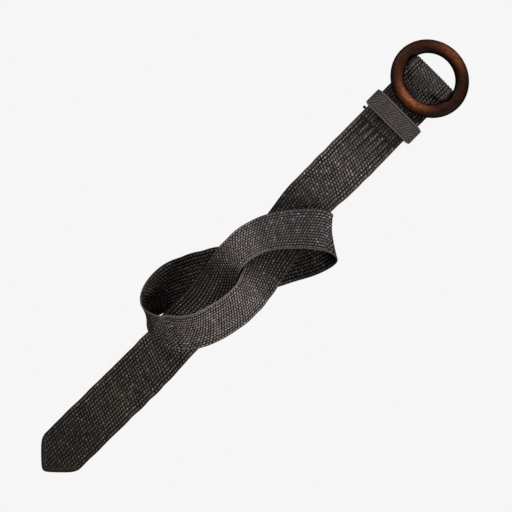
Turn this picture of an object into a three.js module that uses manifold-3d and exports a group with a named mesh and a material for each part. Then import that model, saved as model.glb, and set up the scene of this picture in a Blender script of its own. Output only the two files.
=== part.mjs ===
// A braided belt with a round wooden buckle, lying on its back with a loose overhand knot in the strap.
// Millimetres, +Z up. +X runs along the belt from the pointed tip to the buckle, z = 0 is the surface
// that the belt lies on, and the origin is the middle of the belt's footprint.
import * as THREE from "three";
import { mergeVertices } from "three/addons/utils/BufferGeometryUtils.js";
import Module from "manifold-3d";

// Strap: a woven band
const STRAP_WIDTH = 47.8;
const STRAP_THICKNESS = 2.2;
const EDGE_ROUNDING = 0.6;
const EDGE_FLAT_SHARE = 0.4;
const TIP_BLUNTNESS = 6;
const TIP_SHOULDER_SHARPNESS = 8;
const RUNNING_GAP = 0.3;

// Buckle: a turned ring with a round bar across its middle, a little shorter along the belt than across it
const RING_WIDTH = 77.8;
const RING_LENGTH = 73.1;
const RING_BAND_WIDTH = 13.7;
const RING_DEPTH = 12;
const BAR_DIAMETER = 12;
const RING_X = 243.7;
const RING_Y = -0.6;

// The knot reaches further to one side, which moves the middle of the footprint
const KNOT_OVERHANG = 3.8;

// Keeper: a woven loop round the doubled strap, with room above it for the tip
const KEEPER_LENGTH = 19;
const KEEPER_WIDTH = 58.6;
const KEEPER_HEIGHT = 15;
const KEEPER_WALL = 2.2;
const KEEPER_CORNER = 6;
const KEEPER_X = 193.7;
const KEEPER_Y = -1.8;

// The ring's near side rests on the doubled strap and its far side on the surface
const RING_MIDDLE_RADIUS = (RING_WIDTH - RING_BAND_WIDTH) / 2;
const RING_SHORTNESS = RING_LENGTH / RING_WIDTH;
const DOUBLED_STRAP = 2 * STRAP_THICKNESS + 6 * RUNNING_GAP;
const RING_TILT = Math.asin(DOUBLED_STRAP / (2 * RING_MIDDLE_RADIUS * RING_SHORTNESS));
const RING_Z = (RING_DEPTH / 2) * Math.cos(RING_TILT) + DOUBLED_STRAP / 2;

const wasm = await Module();
wasm.setup();

// The strap's path, as sections in order from the sewn end to the tip. x, y, z is the middle of the
// section. The width runs from the left edge to the right edge, seen facing the tip: bearing is its
// direction on plan from +X, lean is how far the right edge is raised, both in degrees, and half is
// half the width. A smooth curve is drawn near these sections, not through them.
const COLUMNS = ["place", "x", "y", "z", "bearing", "lean", "half"];

// The end is turned under the bar and sewn to the strap's back
const SEWN_END = [
  ["sewn end", 164, -1, 1.1, 90, 0, 23.9],
  ["under the strand", 173, -1, 1.3, 90, 0, 23.9],
  ["on the keeper", 183, -1, 4.1, 90, 0, 23.9],
  ["on the keeper", 194, -1, 3.7, 90, 0, 23.9],
  ["on the keeper", 205, -1, 4.1, 90, 0, 23.9],
  ["off the keeper", 212, -1, 1.1, 90, 0, 23.9],
  ["under the ring", 223, -1, 1.1, 90, 0, 23.9],
  ["to the bar", 235, -0.8, 1.1, 90, 0, 24],
];

// From the bar over the keeper and down to the surface
const BUCKLE_SIDE = [
  ["down from the bar", 235.5, -0.8, 6.2, 90, 0, 23.3],
  ["on the sewn end", 228, -1, 3.6, 90, 0, 23.7],
  ["under the ring", 219.5, -1, 3.7, 90, 0, 23.9],
  ["under the ring", 211.5, -1, 4.3, 90, 0, 23.9],
  ["in the keeper", 204.5, -1, 7.3, 90, 0, 23.9],
  ["in the keeper", 194, -1, 6.9, 90, 0, 23.9],
  ["in the keeper", 183, -1, 7.2, 90, 0, 23.9],
  ["on the sewn end", 173, -1.1, 4.3, 90, 0, 24],
  ["at the seam", 163, -1.2, 4.3, 90, 0, 24.1],
  ["past the seam", 150, -1.4, 1.3, 90, 0, 24.2],
];

// The knot: under and up through the right loop, round the left loop, flat below everything, round the
// right loop, over everything and down through the left loop
const KNOT = [
  ["flat", 130, -1.4, 1.0, 90, 0, 24.2],
  ["flat", 111, -1.5, 1.6, 90, 0, 24],
  ["into the right loop", 91, -0.6, 6, 90, 0, 23.2],
  ["under the roof", 70, -0.8, 6.8, 92, 0, 22.6],
  ["under the roof", 44, -6, 4.9, 97, 0, 23.9],
  ["turning up", 20, -10.5, 7.6, 100, 9, 23.9],
  ["out of the right loop", -4, -19.7, 19.5, 102, 41, 23.9],
  ["left roof", -22, -25.5, 28.4, 96, 47, 23.9],
  ["left roof", -38, -26.4, 30, 85, 46, 23.9],
  ["left roof", -56, -23.2, 29, 76, 45, 23.9],
  ["left roof", -77.5, -17.5, 27.4, 66, 45, 23.9],
  ["over the tail", -94.5, -7, 26.4, 58, 47, 23.9],
  ["over the tail", -103.6, 8.4, 26.9, 53, 48.5, 23.9],
  ["left turn", -110.2, 21.6, 27.3, 55, 59.5, 22.9],
  ["left turn", -105.9, 35.8, 24.2, 59, 56, 22.5],
  ["left turn", -90, 38.8, 18.8, 67, 43.5, 23.9],
  ["far side", -72, 35.5, 11.7, 69, 28, 23.9],
  ["far side", -55, 26.5, 5, 67, 10, 23.9],
  ["far side", -38, 17, 1.4, 64, 0, 23.9],
  ["flat under the bands", -22, 7, 1.1, 59, 0, 23.9],
  ["flat below", -6, -6, 1.1, 57, 0, 23.9],
  ["flat below", 11, -17, 1.1, 57, 0, 23.9],
  ["flat under the roof", 30.5, -27.6, 1.5, 56, 0, 23.9],
  ["into the right turn", 49, -37, 0.8, 56, 0, 23.9],
  ["right turn", 65.3, -42, 5.7, 56, -2, 22.9],
  ["right turn", 74, -42.4, 19, 52, -16, 21.3],
  ["right roof", 70, -30, 23.6, 52, -33, 23.3],
  ["right roof", 59, -18, 23.2, 52, -37, 23.9],
  ["right roof", 45, -5, 25, 51, -41, 23.9],
  ["right roof", 28, 7, 25.6, 55, -45, 23.9],
  ["over the band", 11, 13, 24.6, 66, -48, 23.9],
  ["over the band", -6, 14.2, 23.7, 82, -52, 23.9],
  ["into the left loop", -20, 12.3, 22.4, 94, -51, 23.9],
  ["into the left loop", -33, 5.5, 19.4, 99, -34, 23.9],
  ["down in the loop", -48, -1, 14, 99, -16, 23.9],
  ["down in the loop", -66, -4, 10.6, 100, -6, 23.4],
  ["out of the loop", -88, -3.6, 5.8, 97, 0, 23.6],
  ["out of the loop", -111, -4.2, 1.1, 93, 0, 23.2],
];

// The free end lies straight to its pointed tip
const TAIL = [
  ["flat", -136, -5, 1.1, 90, 0, 23.9],
  ["flat", -163, -5, 1.1, 90, 0, 23.9],
  ["flat", -190, -4.5, 1.1, 90, 0, 23.9],
  ["flat", -250, -4, 1.1, 90, 0, 23.9],
  ["tip", -281.5, -4, 1.1, 90, 0, 23.9],
];

// Sections that carry the strap once round the bar, from below it to just past its top
function foldSections() {
  const step = 40;
  const radius = BAR_DIAMETER / 2 + RUNNING_GAP + STRAP_THICKNESS / 2;
  const reach = (3 * radius) / (2 + Math.cos(THREE.MathUtils.degToRad(step)));
  const rows = [];
  for (let turn = -90; turn <= 150; turn += step) {
    const angle = THREE.MathUtils.degToRad(turn);
    const x = RING_X + reach * Math.cos(angle);
    const z = RING_Z + reach * Math.sin(angle);
    rows.push(["round the bar", x, RING_Y, z, 90, 0, 23]);
  }
  return rows;
}

// The point a share t of the way along a uniform cubic B-spline's span, from its four control values
function splinePoint(values, t) {
  const weights = [(1 - t) ** 3, 3 * t ** 3 - 6 * t ** 2 + 4, -3 * t ** 3 + 3 * t ** 2 + 3 * t + 1, t ** 3];
  return values[0].map((_, i) => values.reduce((sum, value, k) => sum + (weights[k] * value[i]) / 6, 0));
}

// Closely spaced frames along the strap: centre, across (left to right), half width and length so far
function fineFrames(rows) {
  const spanSteps = 12;
  const controls = rows.map((row) => {
    const section = Object.fromEntries(COLUMNS.map((column, i) => [column, row[i]]));
    const bearing = THREE.MathUtils.degToRad(section.bearing);
    const lean = THREE.MathUtils.degToRad(section.lean);
    const across = [Math.cos(bearing) * Math.cos(lean), Math.sin(bearing) * Math.cos(lean), Math.sin(lean)];
    return [section.x, section.y, section.z, ...across, section.half];
  });
  const beyond = (end, next) => end.map((value, i) => 2 * value - next[i]);
  const last = controls.length - 1;
  const padded = [beyond(controls[0], controls[1]), ...controls, beyond(controls[last], controls[last - 1])];
  const samples = [];
  for (let span = 0; span + 3 < padded.length; span += 1) {
    for (let step = 0; step < spanSteps; step += 1) {
      samples.push(splinePoint(padded.slice(span, span + 4), step / spanSteps));
    }
  }
  samples.push(controls[last]);
  const frames = samples.map((v) => ({
    centre: new THREE.Vector3(v[0], v[1], v[2]),
    across: new THREE.Vector3(v[3], v[4], v[5]),
    half: v[6],
    length: 0,
  }));
  frames.forEach((frame, i) => {
    const before = frames[Math.max(i - 1, 0)];
    const after = frames[Math.min(i + 1, frames.length - 1)];
    frame.along = after.centre.clone().sub(before.centre).normalize();
    frame.across.addScaledVector(frame.along, -frame.across.dot(frame.along)).normalize();
    frame.length = i === 0 ? 0 : before.length + before.centre.distanceTo(frame.centre);
  });
  return frames;
}

// Half the width where the tip closes in: 45 degree sides that run into the strap's edges over a rounded
// shoulder, by the sum of the powers of the strap's and the tip's half widths
function tipHalf(half, fromEnd) {
  const power = -TIP_SHOULDER_SHARPNESS;
  return (half ** power + (fromEnd + TIP_BLUNTNESS / 2) ** power) ** (1 / power);
}

// Keeps a frame wherever the strap has turned enough or run far enough since the last one kept
function keptFrames(frames) {
  const turnLimit = THREE.MathUtils.degToRad(7);
  const longest = 18;
  const longestInTip = 4;
  const tipLength = 36;
  const total = frames[frames.length - 1].length;
  const kept = [frames[0]];
  frames.forEach((frame, i) => {
    const past = kept[kept.length - 1];
    const turned = Math.max(frame.along.angleTo(past.along), frame.across.angleTo(past.across));
    const limit = frame.length > total - tipLength ? longestInTip : longest;
    if (turned > turnLimit || frame.length - past.length > limit) kept.push(frame);
  });
  if (kept[kept.length - 1] !== frames[frames.length - 1]) kept.push(frames[frames.length - 1]);
  kept.forEach((frame) => {
    frame.half = tipHalf(frame.half, total - frame.length);
  });
  return kept;
}

// A band with rounded edges carried along the frames, closed at both ends
function bandGeometry(frames) {
  const thick = STRAP_THICKNESS / 2;
  const side = EDGE_FLAT_SHARE * thick;
  const positions = [];
  for (const { centre, across, along, half } of frames) {
    const up = across.clone().cross(along);
    const face = half - EDGE_ROUNDING;
    const outline = [
      [-face, thick], [-face / 3, thick], [face / 3, thick], [face, thick],
      [half, side], [half, -side],
      [face, -thick], [face / 3, -thick], [-face / 3, -thick], [-face, -thick],
      [-half, -side], [-half, side],
    ];
    for (const [sideways, height] of outline) {
      const point = centre.clone().addScaledVector(across, sideways).addScaledVector(up, height);
      positions.push(point.x, point.y, point.z);
    }
  }
  const around = 12;
  const indices = [];
  for (let ring = 0; ring + 1 < frames.length; ring += 1) {
    for (let k = 0; k < around; k += 1) {
      const a = ring * around + k;
      const b = ring * around + ((k + 1) % around);
      indices.push(a, b, b + around, a, b + around, a + around);
    }
  }
  const lastRing = (frames.length - 1) * around;
  for (let k = 1; k + 1 < around; k += 1) {
    indices.push(0, k + 1, k);
    indices.push(lastRing, lastRing + k, lastRing + k + 1);
  }
  const geometry = new THREE.BufferGeometry();
  geometry.setAttribute("position", new THREE.Float32BufferAttribute(positions, 3));
  geometry.setIndex(indices);
  geometry.computeVertexNormals();
  return geometry;
}

function toSolid(geometry) {
  const plain = geometry.clone();
  plain.deleteAttribute("normal");
  plain.deleteAttribute("uv");
  const merged = mergeVertices(plain, 1e-4);
  const mesh = new wasm.Mesh({
    numProp: 3,
    vertProperties: Float32Array.from(merged.attributes.position.array),
    triVerts: Uint32Array.from(merged.index.array),
  });
  return new wasm.Manifold(mesh);
}

function toGeometry(solid) {
  const mesh = solid.getMesh();
  const geometry = new THREE.BufferGeometry();
  geometry.setAttribute("position", new THREE.BufferAttribute(mesh.vertProperties, 3));
  geometry.setIndex(new THREE.BufferAttribute(mesh.triVerts, 1));
  geometry.computeVertexNormals();
  return geometry;
}

// The ring lies in its own XY plane, with the bar along its Y axis
function ringBuckleGeometry() {
  const profileSides = 14;
  const profile = [];
  for (let side = 0; side <= profileSides; side += 1) {
    const angle = (2 * Math.PI * side) / profileSides;
    const radius = RING_MIDDLE_RADIUS + (RING_BAND_WIDTH / 2) * Math.cos(angle);
    profile.push(new THREE.Vector2(radius, (RING_DEPTH / 2) * Math.sin(angle)));
  }
  const ring = new THREE.LatheGeometry(profile, 48).rotateX(Math.PI / 2).scale(RING_SHORTNESS, 1, 1);
  const bar = new THREE.CylinderGeometry(BAR_DIAMETER / 2, BAR_DIAMETER / 2, 2 * RING_MIDDLE_RADIUS, 24);
  return toGeometry(toSolid(ring).add(toSolid(bar)));
}

function roundedOutline(path, width, height, corner) {
  const w = width / 2;
  const right = Math.PI / 2;
  path.moveTo(-w + corner, 0);
  path.lineTo(w - corner, 0);
  path.absarc(w - corner, corner, corner, -right, 0, false);
  path.absarc(w - corner, height - corner, corner, 0, right, false);
  path.absarc(-w + corner, height - corner, corner, right, 2 * right, false);
  path.absarc(-w + corner, corner, corner, 2 * right, 3 * right, false);
  return path;
}

// A closed loop: its outline seen along the belt, carried along X
function keeperGeometry() {
  const outer = roundedOutline(new THREE.Shape(), KEEPER_WIDTH, KEEPER_HEIGHT, KEEPER_CORNER);
  const hollow = roundedOutline(
    new THREE.Path(),
    KEEPER_WIDTH - 2 * KEEPER_WALL,
    KEEPER_HEIGHT - 2 * KEEPER_WALL,
    KEEPER_CORNER - KEEPER_WALL,
  );
  const lift = (points) => points.map((point) => point.add(new THREE.Vector2(0, KEEPER_WALL)));
  outer.holes.push(new THREE.Path(lift(hollow.getPoints(5))));
  const geometry = new THREE.ExtrudeGeometry(outer, {
    depth: KEEPER_LENGTH,
    bevelEnabled: false,
    curveSegments: 5,
  });
  geometry.translate(0, 0, -KEEPER_LENGTH / 2);
  return geometry.rotateX(Math.PI / 2).rotateZ(Math.PI / 2);
}

const weave = new THREE.MeshStandardMaterial({ color: 0x4d4845, roughness: 0.9, metalness: 0 });
const keeperWeave = new THREE.MeshStandardMaterial({ color: 0x46423f, roughness: 0.9, metalness: 0 });
const wood = new THREE.MeshStandardMaterial({ color: 0x4a2416, roughness: 0.35, metalness: 0 });

const rows = [...SEWN_END, ...foldSections(), ...BUCKLE_SIDE, ...KNOT, ...TAIL];
const strap = new THREE.Mesh(bandGeometry(keptFrames(fineFrames(rows))), weave);
strap.name = "strap";

const keeper = new THREE.Mesh(keeperGeometry(), keeperWeave);
keeper.name = "keeper";
keeper.position.set(KEEPER_X, KEEPER_Y, 0);

const ringBuckle = new THREE.Mesh(ringBuckleGeometry(), wood);
ringBuckle.name = "ring_buckle";
ringBuckle.position.set(RING_X, RING_Y, RING_Z);
ringBuckle.rotation.y = RING_TILT;

const belt = new THREE.Group();
belt.add(strap, keeper, ringBuckle);
belt.position.y = KNOT_OVERHANG;

export default belt;
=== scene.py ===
# %% [markdown]
# A braided belt with a round wooden buckle, knotted and laid on a table
#
# The belt is one woven strap, folded round the bar of a turned ring and tied in a loose overhand knot.
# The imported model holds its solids. This notebook dresses them: every cord of the weave is a real yarn
# that goes over and under, because the eye reads a woven belt by its cords and not by its colour.

# %% Frame
import math

import bpy
import numpy as np
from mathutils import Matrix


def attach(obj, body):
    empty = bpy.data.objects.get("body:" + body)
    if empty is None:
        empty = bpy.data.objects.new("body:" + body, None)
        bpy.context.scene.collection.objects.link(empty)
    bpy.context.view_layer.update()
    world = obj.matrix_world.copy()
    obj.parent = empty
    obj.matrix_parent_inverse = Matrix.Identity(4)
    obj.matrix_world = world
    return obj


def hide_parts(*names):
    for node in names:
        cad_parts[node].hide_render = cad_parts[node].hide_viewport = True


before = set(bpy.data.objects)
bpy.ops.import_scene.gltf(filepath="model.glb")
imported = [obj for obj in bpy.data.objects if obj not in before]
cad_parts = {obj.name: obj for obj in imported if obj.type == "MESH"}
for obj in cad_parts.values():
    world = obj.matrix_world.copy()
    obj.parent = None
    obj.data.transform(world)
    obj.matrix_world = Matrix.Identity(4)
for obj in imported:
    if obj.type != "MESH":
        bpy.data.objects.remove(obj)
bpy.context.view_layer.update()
MM = 0.001


# %% Helpers for colour, nodes and meshes
def linear(code):
    """A colour written as sRGB hex, as the linear values that Blender works in: each channel c over
    0.04045 is ((c + 0.055) / 1.055) to the power 2.4, and c / 12.92 below that."""
    channels = [int(code[i : i + 2], 16) / 255 for i in (1, 3, 5)]
    return tuple(c / 12.92 if c <= 0.04045 else ((c + 0.055) / 1.055) ** 2.4 for c in channels) + (1.0,)


def add_node(tree, kind, settings=None, links=None):
    """Adds a node of this kind. settings are its properties and its sockets' values by name or number, and
    links say which output feeds which of its inputs."""
    node = tree.nodes.new(kind)
    for name, value in (settings or {}).items():
        if isinstance(name, int) or name in node.inputs:
            node.inputs[name].default_value = value
        else:
            setattr(node, name, value)
    for name, output in (links or {}).items():
        tree.links.new(output, node.inputs[name])
    return node


def new_material(name):
    """An empty node material and its output node."""
    material = bpy.data.materials.new(name)
    material.use_nodes = True
    material.node_tree.nodes.clear()
    return material, add_node(material.node_tree, "ShaderNodeOutputMaterial")


def colour_ramp(tree, factor, stops):
    """A ramp from (position, hex colour) pairs."""
    ramp = add_node(tree, "ShaderNodeValToRGB", links={"Fac": factor})
    elements = ramp.color_ramp.elements
    for _ in range(len(stops) - 2):
        elements.new(0.5)
    for element, (position, code) in zip(elements, stops):
        element.position = position
        element.color = linear(code)
    return ramp


def multiplied(tree, first, second, factor=1.0):
    """One colour times another, as far as the factor says."""
    settings = {"data_type": "RGBA", "blend_type": "MULTIPLY", "Factor": factor}
    return add_node(tree, "ShaderNodeMix", settings, {6: first, 7: second}).outputs[2]


def dress(tree, output, colour, height, bump, finish):
    """Joins a colour and a height to a material's output. bump and finish are the settings of the nodes
    that make the relief and the surface."""
    relief = add_node(tree, "ShaderNodeBump", bump, {"Height": height})
    links = {"Base Color": colour, "Normal": relief.outputs["Normal"]}
    shader = add_node(tree, "ShaderNodeBsdfPrincipled", finish, links)
    tree.links.new(shader.outputs["BSDF"], output.inputs["Surface"])


def make_piece(name, points, faces, material, uv=None, paint=None):
    """A mesh object at the origin from points in metres. faces is one array of quads, or a list of arrays
    with three or four corners each. uv holds a pair for each point, and paint names arrays with a number
    for each point, which the materials read."""
    mesh = bpy.data.meshes.new(name)
    groups = faces if isinstance(faces, list) else [faces]
    corners = np.concatenate([group.ravel() for group in groups])
    sizes = np.concatenate([np.full(len(group), group.shape[1]) for group in groups])
    starts = np.concatenate([[0], np.cumsum(sizes)[:-1]])
    mesh.vertices.add(len(points))
    mesh.vertices.foreach_set("co", np.asarray(points, dtype=np.float32).ravel())
    mesh.loops.add(len(corners))
    mesh.loops.foreach_set("vertex_index", corners.astype(np.int32))
    mesh.polygons.add(len(sizes))
    mesh.polygons.foreach_set("loop_start", starts.astype(np.int32))
    mesh.update(calc_edges=True)
    mesh.polygons.foreach_set("use_smooth", np.ones(len(sizes), dtype=bool))
    if uv is not None:
        layer = mesh.uv_layers.new(name="UVMap")
        layer.data.foreach_set("uv", np.asarray(uv, dtype=np.float32)[corners].ravel())
    for attribute, values in (paint or {}).items():
        layer = mesh.attributes.new(attribute, "FLOAT", "POINT")
        layer.data.foreach_set("value", np.asarray(values, dtype=np.float32))
    mesh.validate()
    print(name, "triangles:", int(np.sum(sizes - 2)))
    mesh.materials.append(material)
    piece = bpy.data.objects.new(name, mesh)
    bpy.context.scene.collection.objects.link(piece)
    return piece


# %% [markdown]
# Camera, floor and light
#
# The photograph looks straight down on the belt, turned by 45 degrees, so the belt's length runs from the
# lower left corner of the picture to the upper right. A long lens from six metres up keeps the loops of the
# knot from leaning outwards. The floor is white paper, lit so evenly that the belt leaves no shadow on it.

# %% Camera
PIXEL = 0.955 * MM
PHOTO_SIDE = 512 * PIXEL
VIEW_CENTRE = (7 * MM, 0.8 * MM)
CAMERA_HEIGHT = 6.0
CAMERA_ROLL = -45

camera_data = bpy.data.cameras.new("overhead camera")
camera_data.sensor_width = 36
camera_data.lens = camera_data.sensor_width * CAMERA_HEIGHT / PHOTO_SIDE
camera = bpy.data.objects.new("overhead camera", camera_data)
camera.location = (*VIEW_CENTRE, CAMERA_HEIGHT)
camera.rotation_euler = (0, 0, math.radians(CAMERA_ROLL))
bpy.context.scene.collection.objects.link(camera)
bpy.context.scene.camera = camera
bpy.context.scene.view_settings.view_transform = "Standard"
print("lens, mm:", round(camera_data.lens))

# %% Floor and light
FLOOR_SIDE = 6.0
FLOOR_DEPTH = 0.02 * MM


def paper_floor():
    """A white sheet, drawn as one pale grey. What it throws back on the belt is the light of a dull grey
    sheet, as under black flags."""
    material, output = new_material("white paper")
    tree = material.node_tree
    seen = add_node(tree, "ShaderNodeEmission", {"Color": linear("#f6f6f6"), "Strength": 1.0})
    thrown = add_node(tree, "ShaderNodeBsdfDiffuse", {"Color": linear("#6e6e6e")})
    rays = add_node(tree, "ShaderNodeLightPath")
    surface = add_node(
        tree,
        "ShaderNodeMixShader",
        links={0: rays.outputs["Is Camera Ray"], 1: thrown.outputs["BSDF"], 2: seen.outputs["Emission"]},
    )
    tree.links.new(surface.outputs["Shader"], output.inputs["Surface"])
    half = FLOOR_SIDE / 2
    corners = np.array([[-half, -half, 0], [half, -half, 0], [half, half, 0], [-half, half, 0]])
    floor = make_piece("paper_floor", corners - [0, 0, FLOOR_DEPTH], np.array([[0, 1, 2, 3]]), material)


def soft_light(name, bearing, height, power, distance=1.5, side=0.5):
    """A square soft box that faces the origin, at a bearing from +X and a height above the floor, both in
    degrees. Distance and side in metres, power in watts."""
    data = bpy.data.lights.new(name, "AREA")
    data.shape = "SQUARE"
    data.size = side
    data.energy = power
    lamp = bpy.data.objects.new(name, data)
    bearing, height = math.radians(bearing), math.radians(height)
    flat = distance * math.cos(height)
    lamp.location = (flat * math.cos(bearing), flat * math.sin(bearing), distance * math.sin(height))
    lamp.rotation_euler = (0, math.pi / 2 - height, bearing)
    bpy.context.scene.collection.objects.link(lamp)


def studio_world(code, strength):
    """The same pale light from all round."""
    world = bpy.data.worlds.new("studio")
    world.use_nodes = True
    background = world.node_tree.nodes["Background"]
    background.inputs["Color"].default_value = linear(code)
    background.inputs["Strength"].default_value = strength
    bpy.context.scene.world = world


paper_floor()
soft_light("near soft box", 270, 25, 26)
soft_light("far soft box", 75, 27, 24)
soft_light("buckle side soft box", 10, 40, 8)
studio_world("#f4f6f8", 0.02)

# %% [markdown]
# The path of the strap
#
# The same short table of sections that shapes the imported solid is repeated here, because the weave has to
# follow that solid. One row, where the strap comes out of the left loop, lies about a millimetre nearer the
# left turn. Each row gives the middle of the strap, the direction across it on plan (bearing), how far its
# right edge is raised (lean) and half its width. A uniform cubic B-spline runs near the rows.

# %% Strap sections
STRAP_WIDTH = 47.8
STRAP_THICKNESS = 2.2
RING_X, RING_Y = 243.7, -0.6
RING_WIDTH, RING_LENGTH = 77.8, 73.1
RING_BAND_WIDTH = 13.7
RING_DEPTH = 12
BAR_RADIUS = 6
RUNNING_GAP = 0.3
FOLD_HALF = 23
FOLD_START, FOLD_END, FOLD_STEP = -90, 150, 40
KNOT_OVERHANG = 3.8
RING_MIDDLE_RADIUS = (RING_WIDTH - RING_BAND_WIDTH) / 2
RING_SHORTNESS = RING_LENGTH / RING_WIDTH
DOUBLED_STRAP = 2 * STRAP_THICKNESS + 6 * RUNNING_GAP
RING_TILT = math.asin(DOUBLED_STRAP / (2 * RING_MIDDLE_RADIUS * RING_SHORTNESS))
RING_Z = RING_DEPTH / 2 * math.cos(RING_TILT) + DOUBLED_STRAP / 2

SEWN_END = [
    ("sewn end", 164, -1, 1.1, 90, 0, 23.9),
    ("under the strand", 173, -1, 1.3, 90, 0, 23.9),
    ("on the keeper", 183, -1, 4.1, 90, 0, 23.9),
    ("on the keeper", 194, -1, 3.7, 90, 0, 23.9),
    ("on the keeper", 205, -1, 4.1, 90, 0, 23.9),
    ("off the keeper", 212, -1, 1.1, 90, 0, 23.9),
    ("under the ring", 223, -1, 1.1, 90, 0, 23.9),
    ("to the bar", 235, -0.8, 1.1, 90, 0, 24),
]
BUCKLE_SIDE = [
    ("down from the bar", 235.5, -0.8, 6.2, 90, 0, 23.3),
    ("on the sewn end", 228, -1, 3.6, 90, 0, 23.7),
    ("under the ring", 219.5, -1, 3.7, 90, 0, 23.9),
    ("beside the ring", 211.5, -1, 4.3, 90, 0, 23.9),
    ("in the keeper", 204.5, -1, 7.3, 90, 0, 23.9),
    ("in the keeper", 194, -1, 6.9, 90, 0, 23.9),
    ("in the keeper", 183, -1, 7.2, 90, 0, 23.9),
    ("on the sewn end", 173, -1.1, 4.3, 90, 0, 24),
    ("at the seam", 163, -1.2, 4.3, 90, 0, 24.1),
    ("past the seam", 150, -1.4, 1.3, 90, 0, 24.2),
]
KNOT = [
    ("flat", 130, -1.4, 1.0, 90, 0, 24.2),
    ("flat", 111, -1.5, 1.6, 90, 0, 24),
    ("into the right loop", 91, -0.6, 6, 90, 0, 23.2),
    ("under the roof", 70, -0.8, 6.8, 92, 0, 22.6),
    ("under the roof", 44, -6, 4.9, 97, 0, 23.9),
    ("turning up", 20, -10.5, 7.6, 100, 9, 23.9),
    ("out of the right loop", -4, -19.7, 19.5, 102, 41, 23.9),
    ("left roof", -22, -25.5, 28.4, 96, 47, 23.9),
    ("left roof", -38, -26.4, 30, 85, 46, 23.9),
    ("left roof", -56, -23.2, 29, 76, 45, 23.9),
    ("left roof", -77.5, -17.5, 27.4, 66, 45, 23.9),
    ("over the tail", -94.5, -7, 26.4, 58, 47, 23.9),
    ("over the tail", -103.6, 8.4, 26.9, 53, 48.5, 23.9),
    ("left turn", -110.2, 21.6, 27.3, 55, 59.5, 22.9),
    ("left turn", -105.9, 35.8, 24.2, 59, 56, 22.5),
    ("left turn", -90, 38.8, 18.8, 67, 43.5, 23.9),
    ("far side", -72, 35.5, 11.7, 69, 28, 23.9),
    ("far side", -55, 26.5, 5, 67, 10, 23.9),
    ("far side", -38, 17, 1.4, 64, 0, 23.9),
    ("flat under the bands", -22, 7, 1.1, 59, 0, 23.9),
    ("flat below", -6, -6, 1.1, 57, 0, 23.9),
    ("flat below", 11, -17, 1.1, 57, 0, 23.9),
    ("flat under the roof", 30.5, -27.6, 1.5, 56, 0, 23.9),
    ("into the right turn", 49, -37, 0.8, 56, 0, 23.9),
    ("right turn", 65.3, -42, 5.7, 56, -2, 22.9),
    ("right turn", 74, -42.4, 19, 52, -16, 21.3),
    ("right roof", 70, -30, 23.6, 52, -33, 23.3),
    ("right roof", 59, -18, 23.2, 52, -37, 23.9),
    ("right roof", 45, -5, 25, 51, -41, 23.9),
    ("right roof", 28, 7, 25.6, 55, -45, 23.9),
    ("over the band", 11, 13, 24.6, 66, -48, 23.9),
    ("over the band", -6, 14.2, 23.7, 82, -52, 23.9),
    ("into the left loop", -20, 12.3, 22.4, 94, -51, 23.9),
    ("at the loop's rim", -33, 5.5, 19.4, 99, -34, 23.9),
    ("down in the loop", -48, -1, 14, 99, -16, 23.9),
    ("down in the loop", -66, -4, 10.6, 100, -6, 23.4),
    ("out of the loop", -88, -2.2, 5.8, 97, 0, 24),
    ("out of the loop", -111, -4.2, 1.1, 93, 0, 23.2),
]
TAIL = [
    ("flat", -136, -5, 1.1, 90, 0, 23.9),
    ("flat", -163, -5, 1.1, 90, 0, 23.9),
    ("flat", -190, -4.5, 1.1, 90, 0, 23.9),
    ("flat", -250, -4, 1.1, 90, 0, 23.9),
    ("tip", -281.5, -4, 1.1, 90, 0, 23.9),
]


# How the cords look by place. tone is how much lighter they are than the strap's common shade: painted light
# on the bands that face the lamps, and painted shade in the hollows, under the bands, in the keeper and
# beside the ring. under and right_edge are painted shade added to it on the face below and at the right
# edge. contrast is how strongly the painted light of the crowns shows against the crossings, grooves how
# deep and how dark the lines between the ribs are, and warmth how brown the grey is.
COMMON_LOOK = {"tone": 0, "under": 0, "right_edge": 0, "contrast": 1.25, "grooves": 0.1, "warmth": 0}
LOOKS = {
    "round the bar": {"tone": -0.07, "contrast": 0.5},
    "down from the bar": {"contrast": 0.6},
    "under the ring": {"contrast": 0.7},
    "beside the ring": {"tone": -0.36},
    "in the keeper": {"tone": -0.3},
    "flat": {"tone": -0.06, "contrast": 2.3},
    "at the seam": {"tone": -0.02, "contrast": 0.4, "grooves": 0.5},
    "past the seam": {"contrast": 0.6, "grooves": 0.3},
    "on the sewn end": {"tone": -0.05, "contrast": 0.6, "grooves": 0.25},
    "into the right loop": {"tone": -0.09},
    "under the roof": {"tone": -0.34},
    "turning up": {"tone": -0.24},
    "out of the right loop": {"tone": 0.05, "right_edge": -0.14, "contrast": 0.9, "grooves": 0.6},
    "left roof": {"tone": 0.21, "contrast": 0.4, "grooves": 0.5},
    "over the tail": {"tone": 0.13, "under": -0.1, "contrast": 0.5, "grooves": 0.5},
    "left turn": {"under": -0.2, "contrast": 0.9, "grooves": 0.5},
    "far side": {"tone": -0.25},
    "flat under the bands": {"tone": -0.27},
    "flat under the roof": {"tone": -0.28},
    "into the right turn": {"tone": -0.26},
    "right turn": {"grooves": 0.5, "warmth": -0.5},
    "right roof": {"tone": 0.03, "contrast": 0.4, "grooves": 0.5, "warmth": -1},
    "over the band": {"tone": 0.17, "contrast": 0.7, "grooves": 0.5},
    "into the left loop": {"tone": -0.2, "right_edge": -0.05, "contrast": 1.6, "grooves": 0.6},
    "at the loop's rim": {"tone": -0.34, "right_edge": -0.24, "contrast": 2.4, "grooves": 0.6},
    "down in the loop": {"tone": -0.19, "right_edge": -0.18, "contrast": 2.8, "grooves": 0.5},
    "tip": {"tone": 0.02, "contrast": 1, "grooves": 1},
}


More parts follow.
